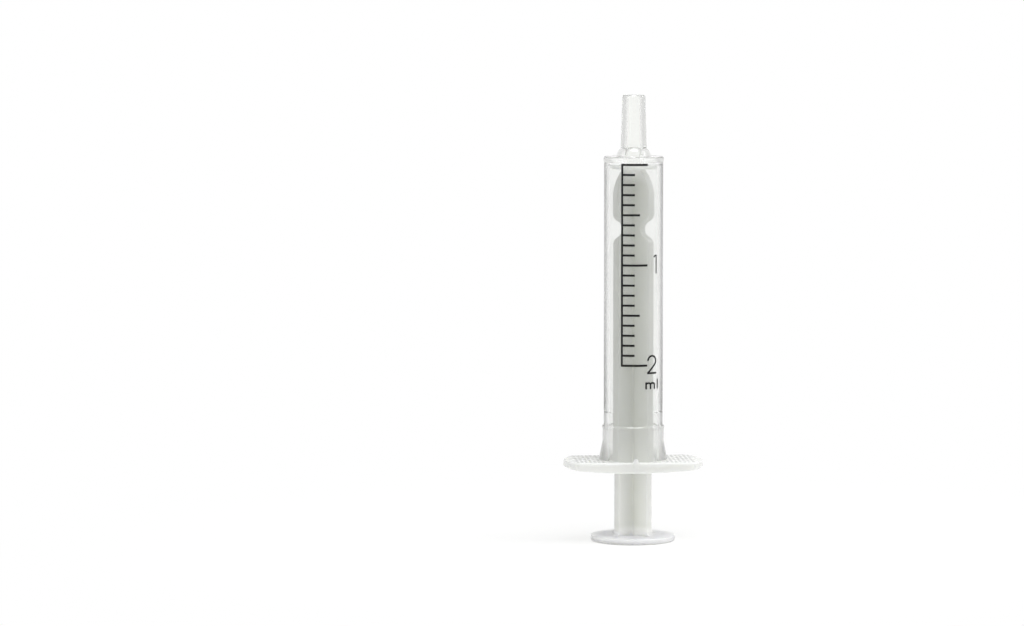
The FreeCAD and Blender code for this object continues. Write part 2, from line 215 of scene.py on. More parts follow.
def makeBarrel():
    b = barrel
    angles = [math.tau * i / b["segments"] for i in range(b["segments"])]
    foot, top = b["flangeFoot"], b["flangeFoot"] + b["flangeThickness"]
    camberRadius = (b["flangeReach"] ** 2 + b["flangeCamber"] ** 2) / (2 * b["flangeCamber"])

    def underside(x):
        return foot + camberRadius - math.sqrt(camberRadius ** 2 - x * x)

    def plate(share, inner, inset, height, lift=0):
        # ring on the flange between a circle and its outline; height is a number or a function of x,
        # and lift is the share of the gate stub's height
        ring = []
        for angle in angles:
            radius = inner + (flangeRadius(angle, inset) - inner) * share
            x, y = radius * math.cos(angle), radius * math.sin(angle)
            z = height(x) if callable(height) else height
            gate = gateShape(x, y) if lift else 0
            ring.append((x, y - gate * gateStub["stand"], z + gate * lift * gateStub["height"]))
        return ring

    # mouth, where the bore's chamfer meets the cambered underside
    mouth = b["boreRadius"] + b["mouthChamfer"]
    chamfer, edge, softEdge = b["footChamfer"], b["edge"], b["softEdge"]
    ring = []
    for angle in angles:
        rise = underside(mouth * math.cos(angle)) - foot
        radius = mouth - rise
        ring.append((radius * math.cos(angle), radius * math.sin(angle), foot + rise))
    rings = [ring]

    # underside, edge and upper face of the flange
    for share in (0.01, 0.2, 0.4, 0.6, 0.8, 0.97, 1):
        rings.append(plate(share, mouth, chamfer, underside))
    rings.append(plate(1, mouth, chamfer * 0.9, lambda x: underside(x) + chamfer * 0.05))
    rings.append(plate(1, mouth, 0, lambda x: underside(x) + chamfer))
    rings.append(plate(1, mouth, 0, lambda x: underside(x) + chamfer + edge))
    rings.append(plate(1, mouth, 0, (foot + top) / 2 + gateStub["footRise"], gateStub["footShare"]))
    topShare, steps = gateStub["topShare"], 6
    for k in range(steps + 1):
        turn = math.pi / 2 * k / steps
        inset = b["topRound"] * (1 - math.cos(turn))
        height = top - b["topRound"] * (1 - math.sin(turn))
        rings.append(plate(1, mouth, inset, height, topShare + (1 - topShare) * k / steps))
    flareEdge = b["flareRadius"] + edge
    for share in spread(1, 0, 64)[1:-1]:
        ring = plate(share, flareEdge, b["topRound"], top, 1)
        rings.append([(x, y, z + gripLift(x, y)) for x, y, z in ring])

    # everything above the flange is turned
    lowerTube, collar = b["tubeRadius"] + b["lowerTubeStep"], b["tubeRadius"] + b["collarStep"]
    collarFoot = top + b["collarRise"]
    collarTop = collarFoot + b["collarHeight"]
    shoulder = b["tubeRadius"] + b["shoulderStep"]
    shoulderTop = b["boreEnd"] + b["endWall"]
    shoulderFoot = shoulderTop - b["shoulderHeight"]
    bossTop = shoulderTop + b["bossHeight"]
    tip = b["nozzleTip"]
    coneFoot = b["nozzleTipRadius"] + b["nozzleTaper"] / 2 * (tip - bossTop)
    coneTip = b["nozzleTipRadius"] + b["nozzleTaper"] / 2 * b["nozzleTipChamfer"]
    boss = bowed(b["bossRadius"], shoulderTop, coneFoot, bossTop, shoulderTop)
    beadMiddle, beadHalf = top + b["beadRise"], b["beadLength"] / 2
    profile = rounded([
        (flareEdge, top, 0),
        (b["flareRadius"], top + edge, softEdge),
        (lowerTube, top + b["flareHeight"], b["flareRound"]),
        (lowerTube, collarFoot, edge),
        (collar, collarFoot + b["collarStep"] - b["lowerTubeStep"], edge),
        (collar, collarTop - b["collarStep"], softEdge),
        (b["tubeRadius"], collarTop, softEdge),
        (b["tubeRadius"], shoulderFoot, edge),
        (shoulder, shoulderFoot + b["shoulderStep"], edge),
        (shoulder, shoulderTop, b["shoulderRound"]),
        (b["bossRadius"] + softEdge, shoulderTop, edge),
        *[(boss(z), z, 0) for z in spread(shoulderTop + b["bossRise"], bossTop, 9)[:-1]],
        (coneFoot, bossTop, b["rootRound"]),
        (coneTip, tip - b["nozzleTipChamfer"], softEdge),
        (coneTip - b["nozzleTipChamfer"], tip, b["tipRound"]),
        (b["lumenTipRadius"], tip, edge),
        (b["lumenRootRadius"], b["boreEnd"], softEdge),
        (b["boreRadius"], b["boreEnd"], b["rootRound"]),
        *[
            (b["boreRadius"] - b["beadHeight"] * (1 - t * t) ** 2, beadMiddle - t * beadHalf, 0)
            for t in spread(-1, 1, 9)
        ],
        (b["boreRadius"], foot + b["mouthChamfer"], softEdge),
        (mouth - b["mouthLead"], foot + b["mouthLead"], 0),
    ])
    rings += [[(p.x * math.cos(a), p.x * math.sin(a), p.y) for a in angles] for p in profile]
    piece = skin("clear_barrel", rings, closed=True)

    # each stretch of the moulding has its own finish
    hair = 0.01
    finishes = list(clearLooks)
    for face in piece.data.polygons:
        x, y, z = face.center / mm
        away = math.hypot(x, y)
        if away < b["boreRadius"] + hair and z < b["boreEnd"] - softEdge:
            finish = "clearBore"
        elif z > b["boreEnd"] and away < b["lumenRootRadius"] + 2 * hair:
            finish = "clearLumen"
        elif z > bossTop + softEdge:
            finish = "clearCone"
        elif z > shoulderFoot + hair:
            finish = "hazyEnd"
        elif top - 2 * hair < z < top + fingerGrip["height"] and away > flareEdge:
            finish = "dottedGrip"
        elif z < top + edge / 2 or away > flareEdge:
            finish = "milkyFlange"
        elif z < collarTop + edge:
            finish = "hazyFlare"
        else:
            finish = "clearWall"
        face.material_index = finishes.index(finish)
    return piece


plunger = {
    "turn": 40,
    "length": plungerHigh.z,
    "thumbRadius": 7.4,
    "thumbThickness": 1.05,
    "thumbFootRound": 0.5,
    "thumbTopChamfer": 0.12,
    "ribHalf": 0.65,
    "ribEdge": 0.12,
    "rootRound": 0.3,
    "footRound": 1.0,
    "sideFoot": 0.18,  # how much the ribs thicken at both ends
    "footMargin": 0.9,  # flat ring of the thumb rest around the ribs' feet
    "undersideRing": 4,
    "shaftRadius": 4.05,
    "guideRadius": 4.13,
    "neckRadius": 2.1,
    "taperLength": 4.85,
    "guideLength": 3.0,
    "waistRadius": 2.2,
    "waistLength": 5.4,
    "sealThickness": 0.65,
    "sealRadius": 4.235,
    "sealRing": 2.9,
    "lipLand": 0.2,
    "lipDepth": 0.35,
    "lipRound": 0.05,
    "faceRound": 0.04,
    "faceRing": 0.5,
}


def crossRing(reach, half, z):
    # outline of the four ribs at one height: reach from the axis to a rib's edge, half its thickness
    root, edge = plunger["rootRound"], plunger["ribEdge"]
    octant = []
    for turn in spread(225, 270, 6):
        a = math.radians(turn)
        octant.append((half + root + root * math.cos(a), half + root + root * math.sin(a)))
    first, last = math.atan2(half, half + root), math.atan2(half, reach - edge)
    octant += [(half / math.tan(a), half) for a in spread(first, last, 14)[1:]]
    for turn in spread(90, 0, 5)[1:]:
        a = math.radians(turn)
        octant.append((reach - edge + edge * math.cos(a), half - edge + edge * math.sin(a)))
    octant += [(reach, y) for y in spread(half - edge, 0, 4)[1:]]
    sector = [(x, -y) for x, y in octant] + octant[-2:0:-1]
    ring = []
    for quarter in range(4):
        turn = math.radians(90 * quarter + plunger["turn"])
        c, s = math.cos(turn), math.sin(turn)
        ring += [(x * c - y * s, x * s + y * c, z) for x, y in sector]
    return ring


def toCircle(ring, radius, share, z):
    # carries a ring part or all of the way out to a circle, each point along its own radius
    made = []
    for x, y, _ in ring:
        size = math.hypot(x, y)
        scale = (size + (radius - size) * share) / size
        made.append((x * scale, y * scale, z))
    return made


def makePlunger():
    p = plunger
    thumbTop = p["thumbThickness"]
    sealFoot = p["length"] - p["sealThickness"]
    guideTop = sealFoot - p["taperLength"]
    guideFoot = guideTop - p["guideLength"]
    waist = guideFoot - p["waistLength"] / 2
    waistFoot = guideFoot - p["waistLength"]
    shaft, guide, neck = p["shaftRadius"], p["guideRadius"], p["neckRadius"]
    lowMiddle = ((shaft + p["waistRadius"]) / 2, (waistFoot + waist) / 2)
    highMiddle = ((guide + p["waistRadius"]) / 2, (guideFoot + waist) / 2)

    footTop = thumbTop + p["footRound"]

    def footEdge(z):
        return shaft + p["footRound"] - math.sqrt(max(p["footRound"] ** 2 - (footTop - z) ** 2, 0))

    # edge of a rib as stretches from one height to the next, with the number of rings on each
    stretches = [
        (thumbTop, footTop, 9, footEdge),
        (footTop, waistFoot, 12, lambda z: shaft),
        (waistFoot, lowMiddle[1], 7, bowed(shaft, waistFoot, *lowMiddle, waistFoot)),
        (lowMiddle[1], waist, 7, bowed(*lowMiddle, p["waistRadius"], waist, waist)),
        (waist, highMiddle[1], 7, bowed(p["waistRadius"], waist, *highMiddle, waist)),
        (highMiddle[1], guideFoot, 7, bowed(*highMiddle, guide, guideFoot, guideFoot)),
        (guideFoot, guideTop, 3, lambda z: guide),
        (guideTop, sealFoot - p["sideFoot"], 14, bowed(guide, guideTop, neck, sealFoot, guideTop)),
    ]

    def ribHalf(z):
        # the ribs thicken a little where they meet the thumb rest and the seal
        near = min(z - thumbTop, sealFoot - z) / p["sideFoot"]
        swell = 1 - math.sqrt(1 - (1 - near) ** 2) if near < 1 else 0
        return p["ribHalf"] + p["sideFoot"] * swell

    foot = crossRing(shaft + p["footRound"], ribHalf(thumbTop), thumbTop)
    disc = rounded([
        (0, 0, 0),
        (p["thumbRadius"], 0, p["thumbFootRound"]),
        (p["thumbRadius"], thumbTop, p["thumbTopChamfer"]),
        (shaft + p["footRound"] + p["footMargin"], thumbTop, 0),
    ])
    rings = [[(0, 0, 0)], toCircle(foot, p["undersideRing"], 1, 0)]
    rings += [toCircle(foot, point.x, 1, point.y) for point in disc[1:]]
    rings += [toCircle(foot, disc[-1].x, share, thumbTop) for share in (0.66, 0.33)]
    for z in spread(thumbTop, thumbTop + p["sideFoot"], 5)[:-1]:
        rings.append(crossRing(footEdge(z), ribHalf(z), z))
    for low, high, count, edge in stretches:
        start = low if low > thumbTop else thumbTop + p["sideFoot"]
        rings += [crossRing(edge(z), ribHalf(z), z) for z in spread(start, high, count)[:-1]]
    neckEdge = stretches[-1][3]
    for z in spread(sealFoot - p["sideFoot"], sealFoot, 5):
        rings.append(crossRing(neckEdge(z), ribHalf(z), z))
    head = rings[-1]
    seal = rounded([
        (p["sealRing"], sealFoot, 0),
        (p["sealRadius"] - p["lipDepth"], sealFoot, p["lipRound"]),
        (p["sealRadius"], p["length"] - p["lipLand"], p["lipRound"]),
        (p["sealRadius"], p["length"], p["faceRound"]),
        (p["faceRing"], p["length"], 0),
    ])
    rings += [toCircle(head, point.x, 1, point.y) for point in seal]
    rings.append([(0, 0, p["length"])])
    return skin("milky_plunger", rings)


numbers = {
    "faceTurn": -95,  # direction from the axis to the camera, from +X
    "thickness": 0.03,
    "sink": 0.004,  # how far the print reaches into the tube
    "step": 0.12,  # length of a stroke between two rows of points
    "merge": 0.001,
    "millilitre": 1000 / (math.pi * barrel["boreRadius"] ** 2),  # length of bore that holds 1 ml
    "zeroHeight": barrel["boreEnd"],
}


def arcPoints(x, y, radius, first, last, count=22, squash=1):
    turns = [math.radians(turn) for turn in spread(first, last, count)]
    return [(x + radius * math.cos(a), y + radius * squash * math.sin(a)) for a in turns]


# each sign: right-hand angle from the camera, its foot below a millilitre mark, strokes in mm
signs = {
    "number_1": {
        "right": 52.5, "mark": 1, "below": 1.4, "width": 1.1, "pen": 0.25,
        "strokes": [[(0.82, 0.0), (0.82, 3.1)], [(0.82, 3.1), (0.56, 3.06), (0.3, 2.86)]],
    },
    "number_2": {
        "right": 53.0, "mark": 2, "below": 1.5, "width": 2.3, "pen": 0.32,
        "strokes": [
            arcPoints(1.05, 2.3, 0.86, 172, -28) + [(1.62, 1.62), (0.16, 0.16)],
            [(0.16, 0.14), (1.95, 0.14)],
        ],
    },
    "unit_ml": {
        "right": 55.0, "mark": 2, "below": 4.04, "width": 2.7, "pen": 0.32,
        "strokes": [
            [(0.05, 0.0), (0.05, 0.97)],
            arcPoints(0.5, 0.62, 0.45, 180, 0, 14, 0.75) + [(0.95, 0.0)],
            arcPoints(1.39, 0.62, 0.44, 180, 0, 14, 0.75) + [(1.83, 0.0)],
            [(2.6, 0.0), (2.6, 1.5)],
        ],
    },
}


def makeSign(name, sign):
    # a sign is drawn with a round pen, flat, and then bent around the tube
    pen = sign["pen"] / 2
    tube = barrel["tubeRadius"]
    inner, outer = tube - numbers["sink"], tube + numbers["thickness"]
    left = math.radians(numbers["faceTurn"] + sign["right"]) - sign["width"] / tube
    baseHeight = numbers["zeroHeight"] - sign["mark"] * numbers["millilitre"] - sign["below"]
    points, faces = [], []

    def bent(x, y, radius):
        angle = left + x / tube
        return (radius * math.cos(angle) * mm, radius * math.sin(angle) * mm, (baseHeight + y) * mm)

    def cap(centre, outward):
        # five points of the round end of a stroke
        turn = math.atan2(outward.y, outward.x)
        ends = [turn + math.radians(degrees) for degrees in (60, 30, 0, -30, -60)]
        return [centre + pen * Vector((math.cos(a), math.sin(a))) for a in ends]

    for stroke in sign["strokes"]:
        path = [Vector(p) for p in stroke]
        dense = [path[0]]
        for a, b in zip(path, path[1:]):
            steps = max(1, math.ceil((b - a).length / numbers["step"]))
            dense += [a.lerp(b, (k + 1) / steps) for k in range(steps)]
        outline = []
        for i, here in enumerate(dense):
            ahead = dense[min(i + 1, len(dense) - 1)] - dense[max(i - 1, 0)]
            side = Vector((-ahead.y, ahead.x)).normalized() * pen
            outline.append((here + side, here - side))

        # pairs across the stroke, from one round end to the other
        first, last = cap(dense[0], dense[0] - dense[1]), cap(dense[-1], dense[-1] - dense[-2])
        rows = [(first[2], first[2]), (first[3], first[1]), (first[4], first[0])]
        rows += outline
        rows += [(last[0], last[4]), (last[1], last[3]), (last[2], last[2])]
        base = len(points)
        for a, b in rows:
            points += [bent(*a, inner), bent(*a, outer), bent(*b, outer), bent(*b, inner)]
        for i in range(len(rows) - 1):
            p, q = base + 4 * i, base + 4 * (i + 1)
            for k in range(4):
                j = (k + 1) % 4
                faces.append((p + k, p + j, q + j, q + k))
    mesh = bpy.data.meshes.new(name)
    mesh.from_pydata(points, [], faces)
    work = bmesh.new()
    work.from_mesh(mesh)
    bmesh.ops.remove_doubles(work, verts=work.verts, dist=numbers["merge"] * mm)
    bmesh.ops.dissolve_degenerate(work, edges=work.edges, dist=numbers["merge"] * mm)
    bmesh.ops.recalc_face_normals(work, faces=work.faces)
    work.to_mesh(mesh)
    work.free()
    piece = bpy.data.objects.new(name, mesh)
    bpy.context.scene.collection.objects.link(piece)
    return piece


def link(tree, source, target):
    tree.links.new(source, target)


def addNode(tree, kind, inputs=None, **settings):
    node = tree.nodes.new(kind)
    for key, value in settings.items():
        setattr(node, key, value)
    for key, value in (inputs or {}).items():
        if isinstance(value, bpy.types.NodeSocket):
            link(tree, value, node.inputs[key])
        else:
            node.inputs[key].default_value = value
    return node


def makeMouldedGroup():
    # colour, roughness and height of a moulded surface: cloudy patches, polish lines along Z and fine grain
    group = bpy.data.node_groups.new("mouldedSurface", "ShaderNodeTree")
    sockets = [
        ("Light Colour", "INPUT", "NodeSocketColor"),
        ("Dark Colour", "INPUT", "NodeSocketColor"),
        ("Patch Scale", "INPUT", "NodeSocketFloat"),
        ("Grain Scale", "INPUT", "NodeSocketFloat"),
        ("Roughness Low", "INPUT", "NodeSocketFloat"),
        ("Roughness High", "INPUT", "NodeSocketFloat"),
        ("Line Depth", "INPUT", "NodeSocketFloat"),
        ("Colour", "OUTPUT", "NodeSocketColor"),
        ("Roughness", "OUTPUT", "NodeSocketFloat"),
        ("Height", "OUTPUT", "NodeSocketFloat"),
    ]
    for name, direction, kind in sockets:
        group.interface.new_socket(name=name, in_out=direction, socket_type=kind)
    given = addNode(group, "NodeGroupInput").outputs
    place = addNode(group, "ShaderNodeTexCoord").outputs["Object"]
    patches = addNode(
        group, "ShaderNodeTexNoise",
        {"Vector": place, "Scale": given["Patch Scale"], "Detail": 3.0, "Roughness": 0.55},
    )
    drawn = addNode(group, "ShaderNodeMapping", {"Vector": place, "Scale": (1.0, 1.0, 0.06)})
    lines = addNode(
        group, "ShaderNodeTexNoise",
        {"Vector": drawn.outputs["Vector"], "Scale": given["Grain Scale"], "Detail": 4.0, "Roughness": 0.6},
    )
    grain = addNode(
        group, "ShaderNodeTexNoise",
        {"Vector": place, "Scale": given["Grain Scale"], "Detail": 2.0, "Roughness": 0.5},
    )
    colour = addNode(group, "ShaderNodeMix", {"Factor": patches.outputs["Fac"]}, data_type="RGBA")
    link(group, given["Light Colour"], colour.inputs[6])
    link(group, given["Dark Colour"], colour.inputs[7])
    rough = addNode(
        group, "ShaderNodeMapRange",
        {"Value": grain.outputs["Fac"], "From Min": 0.3, "From Max": 0.7,
         "To Min": given["Roughness Low"], "To Max": given["Roughness High"]},
    )
    scaled = addNode(group, "ShaderNodeMath", operation="MULTIPLY")
    link(group, lines.outputs["Fac"], scaled.inputs[0])
    link(group, given["Line Depth"], scaled.inputs[1])
    height = addNode(group, "ShaderNodeMath", operation="ADD")
    link(group, scaled.outputs[0], height.inputs[0])
    link(group, patches.outputs["Fac"], height.inputs[1])
    result = addNode(group, "NodeGroupOutput")
    link(group, colour.outputs[2], result.inputs["Colour"])
    link(group, rough.outputs["Result"], result.inputs["Roughness"])
    link(group, height.outputs[0], result.inputs["Height"])
    return group


def newMaterial(name, look, group):
    # a Principled material fed by the moulded surface group
    material = bpy.data.materials.new(name)
    material.use_nodes = True
    tree = material.node_tree
    tree.nodes.clear()
    surface = addNode(tree, "ShaderNodeGroup", node_tree=group)
    for key, value in look["surface"].items():
        surface.inputs[key].default_value = value
    bump = addNode(
        tree, "ShaderNodeBump",
        {"Strength": look["bumpStrength"], "Distance": look["bumpDistance"] * mm,
         "Height": surface.outputs["Height"]},
    )
    shader = addNode(
        tree, "ShaderNodeBsdfPrincipled",
        {"Base Color": surface.outputs["Colour"], "Roughness": surface.outputs["Roughness"],
         "Normal": bump.outputs["Normal"], **look["shader"]},
    )
    output = addNode(tree, "ShaderNodeOutputMaterial")
    link(tree, shader.outputs["BSDF"], output.inputs["Surface"])
    return material


# the barrel's one plastic looks hazier where it is thick or textured
wallLook = {
    "surface": {
        "Light Colour": (0.97, 0.975, 0.965, 1), "Dark Colour": (0.94, 0.945, 0.935, 1),
        "Patch Scale": 260.0, "Grain Scale": 1400.0,
        "Roughness Low": 0.015, "Roughness High": 0.03, "Line Depth": 0.25,
    },
    "bumpStrength": 0.02, "bumpDistance": 0.05,
    "shader": {"IOR": 1.49, "Transmission Weight": 0.96},
    "lampTint": (0.835, 0.84, 0.83, 1),
    # painted shade, greying the plastic towards its outline: a share of its colour at each turn away from
    # the eye
    "paintedEdgeShades": [
        (0.0, 1.0), (0.38, 1.0), (0.5, 0.78), (0.6, 0.43), (0.7, 0.22), (0.85, 0.18), (1.0, 0.25),
    ],
}
boreLook = {
    "surface": {
        "Light Colour": (0.98, 0.985, 0.975, 1), "Dark Colour": (0.95, 0.955, 0.945, 1),
        "Patch Scale": 260.0, "Grain Scale": 1400.0,
        "Roughness Low": 0.015, "Roughness High": 0.03, "Line Depth": 0.25,
    },
    "bumpStrength": 0.02, "bumpDistance": 0.05,
    "shader": {"IOR": 1.49, "Transmission Weight": 0.96},
    "lampTint": (0.835, 0.84, 0.83, 1),
}
endLook = {
    "surface": {
        "Light Colour": (0.985, 0.99, 0.975, 1), "Dark Colour": (0.955, 0.96, 0.945, 1),
        "Patch Scale": 320.0, "Grain Scale": 1400.0,
        "Roughness Low": 0.08, "Roughness High": 0.13, "Line Depth": 0.25,
    },
    "bumpStrength": 0.02, "bumpDistance": 0.05,
    "shader": {"IOR": 1.49, "Transmission Weight": 0.94},
    "lampTint": (0.85, 0.855, 0.845, 1),
    # painted shade towards the outline, as on the wall
    "paintedEdgeShades": [(0.0, 1.0), (0.2, 0.97), (0.4, 0.62), (0.55, 0.66), (1.0, 0.85)],
}
coneLook = {
    "surface": {
        "Light Colour": (0.985, 0.99, 0.975, 1), "Dark Colour": (0.955, 0.96, 0.945, 1),
        "Patch Scale": 320.0, "Grain Scale": 1400.0,
        "Roughness Low": 0.03, "Roughness High": 0.05, "Line Depth": 0.1,
    },
    "bumpStrength": 0.01, "bumpDistance": 0.05,
    "shader": {"IOR": 1.49, "Transmission Weight": 0.97},
    "lampTint": (0.85, 0.855, 0.845, 1),
    # painted shade towards the outline, as on the wall
    "paintedEdgeShades": [(0.0, 1.0), (0.1, 0.99), (0.2, 0.72), (0.36, 0.62), (0.6, 0.78), (1.0, 0.85)],
}
lumenLook = {key: value for key, value in coneLook.items() if key != "paintedEdgeShades"}  # no grey lines inside
flareLook = {
    "surface": {
        "Light Colour": (0.97, 0.975, 0.965, 1), "Dark Colour": (0.92, 0.925, 0.91, 1),
        "Patch Scale": 320.0, "Grain Scale": 1400.0,
        "Roughness Low": 0.1, "Roughness High": 0.16, "Line Depth": 0.25,
    },
    "bumpStrength": 0.03, "bumpDistance": 0.05,
    "shader": {"IOR": 1.49, "Transmission Weight": 0.84},
    "lampTint": (0.84, 0.845, 0.835, 1),
    # painted shade towards the outline, as on the wall
    "paintedEdgeShades": [(0.0, 1.0), (0.3, 0.97), (0.6, 0.7), (1.0, 0.7)],
}
flangeLook = {
    "surface": {
        "Light Colour": (0.79, 0.795, 0.78, 1), "Dark Colour": (0.75, 0.76, 0.74, 1),
        "Patch Scale": 240.0, "Grain Scale": 1100.0,
        "Roughness Low": 0.2, "Roughness High": 0.3, "Line Depth": 0.3,
    },
    "bumpStrength": 0.03, "bumpDistance": 0.05,
    "shader": {
        "IOR": 1.49, "Specular IOR Level": 0.15, "Subsurface Weight": 1.0,
        "Subsurface Radius": (1.0, 1.0, 0.95), "Subsurface Scale": 0.002,
    },
    "lampTint": (0.93, 0.935, 0.925, 1),
}
gripLook = {
    "surface": {
        "Light Colour": (0.8, 0.805, 0.79, 1), "Dark Colour": (0.76, 0.77, 0.75, 1),
        "Patch Scale": 240.0, "Grain Scale": 1100.0,
        "Roughness Low": 0.2, "Roughness High": 0.3, "Line Depth": 0.3,
    },
    "bumpStrength": 0.03, "bumpDistance": 0.05,
    "shader": {
        "IOR": 1.49, "Specular IOR Level": 0.15, "Subsurface Weight": 1.0,
        "Subsurface Radius": (1.0, 1.0, 0.95), "Subsurface Scale": 0.001,
    },
    "lampTint": (0.93, 0.935, 0.925, 1),
    # painted shade: the share of its colour the plastic keeps in the hollows between the dots
    "paintedHollowShade": 0.8,  # how much light the hollows between the dots send back
}
milkyLook = {
    "surface": {
        "Light Colour": (0.685, 0.695, 0.665, 1), "Dark Colour": (0.64, 0.65, 0.62, 1),
        "Patch Scale": 190.0, "Grain Scale": 900.0,
        "Roughness Low": 0.34, "Roughness High": 0.46, "Line Depth": 0.4,
    },
    "bumpStrength": 0.15, "bumpDistance": 0.04,
    "shader": {
        "IOR": 1.5, "Subsurface Weight": 1.0, "Subsurface Radius": (1.0, 1.0, 0.9),
        "Subsurface Scale": 0.006,
    },
    # painted light: the colour turns paler towards both ends of the plunger; each pair is a height of full
    # paleness and one of none
    "paintedLightColour": (0.99, 0.99, 0.955, 1),
    "paintedLightFoot": (1.1, 3.2),
    "paintedLightHead": (plungerHigh.z - 0.7, plungerHigh.z - 3.5),
}
inkLook = {
    "surface": {
        "Light Colour": (0.012, 0.012, 0.013, 1), "Dark Colour": (0.02, 0.02, 0.021, 1),
        "Patch Scale": 1500.0, "Grain Scale": 5000.0,
        "Roughness Low": 0.38, "Roughness High": 0.55, "Line Depth": 0.3,
    },
    "bumpStrength": 0.2, "bumpDistance": 0.01,
    "shader": {"IOR": 1.45, "Specular IOR Level": 0.15},
}


def baseColour(material):
    # the shader's colour input and what feeds it so far
    shader = next(node for node in material.node_tree.nodes if node.type == "BSDF_PRINCIPLED")
    target = shader.inputs["Base Color"]
    return target, target.links[0].from_socket


def paintEdgeShade(material, shades):
    # painted shade: the clear plastic's colour greys where its surface turns away from the eye, standing in
    # for the darker surroundings seen through its edge
    tree = material.node_tree
    target, plain = baseColour(material)
    turned = addNode(tree, "ShaderNodeLayerWeight", {"Blend": 0.5})
    ramp = addNode(tree, "ShaderNodeValToRGB", {"Fac": turned.outputs["Facing"]})
    stops = ramp.color_ramp.elements
    while len(stops) < len(shades):
        stops.new(0.5)
    for stop, (place, share) in zip(stops, shades):
        stop.position = place
        stop.color = (share, share, share, 1)
    greyed = addNode(tree, "ShaderNodeMix", {"Factor": 1.0}, data_type="RGBA", blend_type="MULTIPLY")
    link(tree, plain, greyed.inputs[6])
    link(tree, ramp.outputs["Color"], greyed.inputs[7])
    link(tree, greyed.outputs[2], target)


def paintHollowShade(material, share):
    # painted shade: darkens the colour between the dots of the finger grip, fading out where the dots end
    tree = material.node_tree
    target, plain = baseColour(material)
    place = addNode(tree, "ShaderNodeTexCoord").outputs["Object"]
    parts = addNode(tree, "ShaderNodeSeparateXYZ", {"Vector": place})
    waveNumber = math.tau / (fingerGrip["pitch"] * mm)
    waves = []
    for axis in ("X", "Y"):
        turns = addNode(
            tree, "ShaderNodeMath", {0: parts.outputs[axis], 1: waveNumber}, operation="MULTIPLY",
        )
        waves.append(addNode(tree, "ShaderNodeMath", {0: turns.outputs[0]}, operation="COSINE").outputs[0])
    # the sum of both waves is 2 at the middle of a dot and less than 0 between four dots
    dots = addNode(tree, "ShaderNodeMath", {0: waves[0], 1: waves[1]}, operation="ADD")
    hollow = addNode(
        tree, "ShaderNodeMapRange",
        {"Value": dots.outputs[0], "From Min": 0.9, "From Max": -0.6, "To Max": 1 - share},
        interpolation_type="SMOOTHSTEP",
    )
    depth = hollow.outputs["Result"]
    grip = fingerGrip
    limits = [
        ("X", grip["to"], grip["fade"]),
        ("X", grip["from"], -grip["fade"]),
        ("Y", grip["halfDepth"], grip["fade"]),
    ]
    for axis, limit, fade in limits:
        side = addNode(tree, "ShaderNodeMath", {0: parts.outputs[axis]}, operation="ABSOLUTE")
        within = addNode(
            tree, "ShaderNodeMapRange",
            {"Value": side.outputs[0], "From Min": (limit + fade) * mm, "From Max": limit * mm},
        )
        depth = addNode(
            tree, "ShaderNodeMath", {0: depth, 1: within.outputs["Result"]}, operation="MULTIPLY",
        ).outputs[0]
    shaded = addNode(tree, "ShaderNodeMix", {"Factor": depth}, data_type="RGBA")
    link(tree, plain, shaded.inputs[6])
    shaded.inputs[7].default_value = (0, 0, 0, 1)
    link(tree, shaded.outputs[2], target)


def paintEndLight(material, look):
    # painted light: carries the colour over to a paler one at both ends of the plunger
    tree = material.node_tree
    target, plain = baseColour(material)
    place = addNode(tree, "ShaderNodeTexCoord").outputs["Object"]
    height = addNode(tree, "ShaderNodeSeparateXYZ", {"Vector": place}).outputs["Z"]
    shares = []
    for full, none in (look["paintedLightFoot"], look["paintedLightHead"]):
        share = addNode(
            tree, "ShaderNodeMapRange",
            {"Value": height, "From Min": none * mm, "From Max": full * mm},
            interpolation_type="SMOOTHSTEP",
        )
        shares.append(share.outputs["Result"])
    share = addNode(tree, "ShaderNodeMath", {0: shares[0], 1: shares[1]}, operation="MAXIMUM")
    pale = addNode(tree, "ShaderNodeMix", {"Factor": share.outputs[0]}, data_type="RGBA")
    link(tree, plain, pale.inputs[6])
    pale.inputs[7].default_value = look["paintedLightColour"]
    link(tree, pale.outputs[2], target)


def letLampsThrough(material, tint):
    # rays from lamps and from rough surfaces pass straight through the clear wall
    tree = material.node_tree
    output = next(node for node in tree.nodes if node.type == "OUTPUT_MATERIAL")
    shader = next(node for node in tree.nodes if node.type == "BSDF_PRINCIPLED")
    path = addNode(tree, "ShaderNodeLightPath")
    straight = addNode(tree, "ShaderNodeMath", operation="MAXIMUM")
    link(tree, path.outputs["Is Shadow Ray"], straight.inputs[0])
    link(tree, path.outputs["Is Diffuse Ray"], straight.inputs[1])
    clear = addNode(tree, "ShaderNodeBsdfTransparent", {"Color": tint})
    mix = addNode(tree, "ShaderNodeMixShader", {"Fac": straight.outputs[0]})
    link(tree, shader.outputs["BSDF"], mix.inputs[1])
    link(tree, clear.outputs["BSDF"], mix.inputs[2])
    link(tree, mix.outputs["Shader"], output.inputs["Surface"])


studio = {
    "distance": 800,
    "cameraHeight": 107,
    "azimuth": -5,
    "lens": 160.8,
    "sensor": 36,
    "clip": (0.01, 20),  # metres
    "aimLeft": 21.3,
    "aimHeight": 40.1,
    "floorRadius": 6,  # metres
    "floorColour": (0.93, 0.93, 0.925, 1),
    "fadeFrom": 10,  # the floor turns white between two distances, and starts at a share of that
    "fadeTo": 110,
    "fadeStart": 0.5,
    "ambient": 0.4,
}
lamps = {
    "keyRight": {"azimuth": 88, "elevation": 35, "distance": 900, "size": 620, "power": 1.8},
    "fillLeft": {"azimuth": -42, "elevation": 25, "distance": 900, "size": 600, "power": 0.35},
    "top": {"azimuth": 20, "elevation": 78, "distance": 900, "size": 620, "power": 6.0},
}


def direction(azimuth, elevation=0):
    # unit vector from the object towards a place around it; azimuth 0 is the -Y side
    a, e = math.radians(azimuth), math.radians(elevation)
    return Vector((math.sin(a) * math.cos(e), -math.cos(a) * math.cos(e), math.sin(e)))


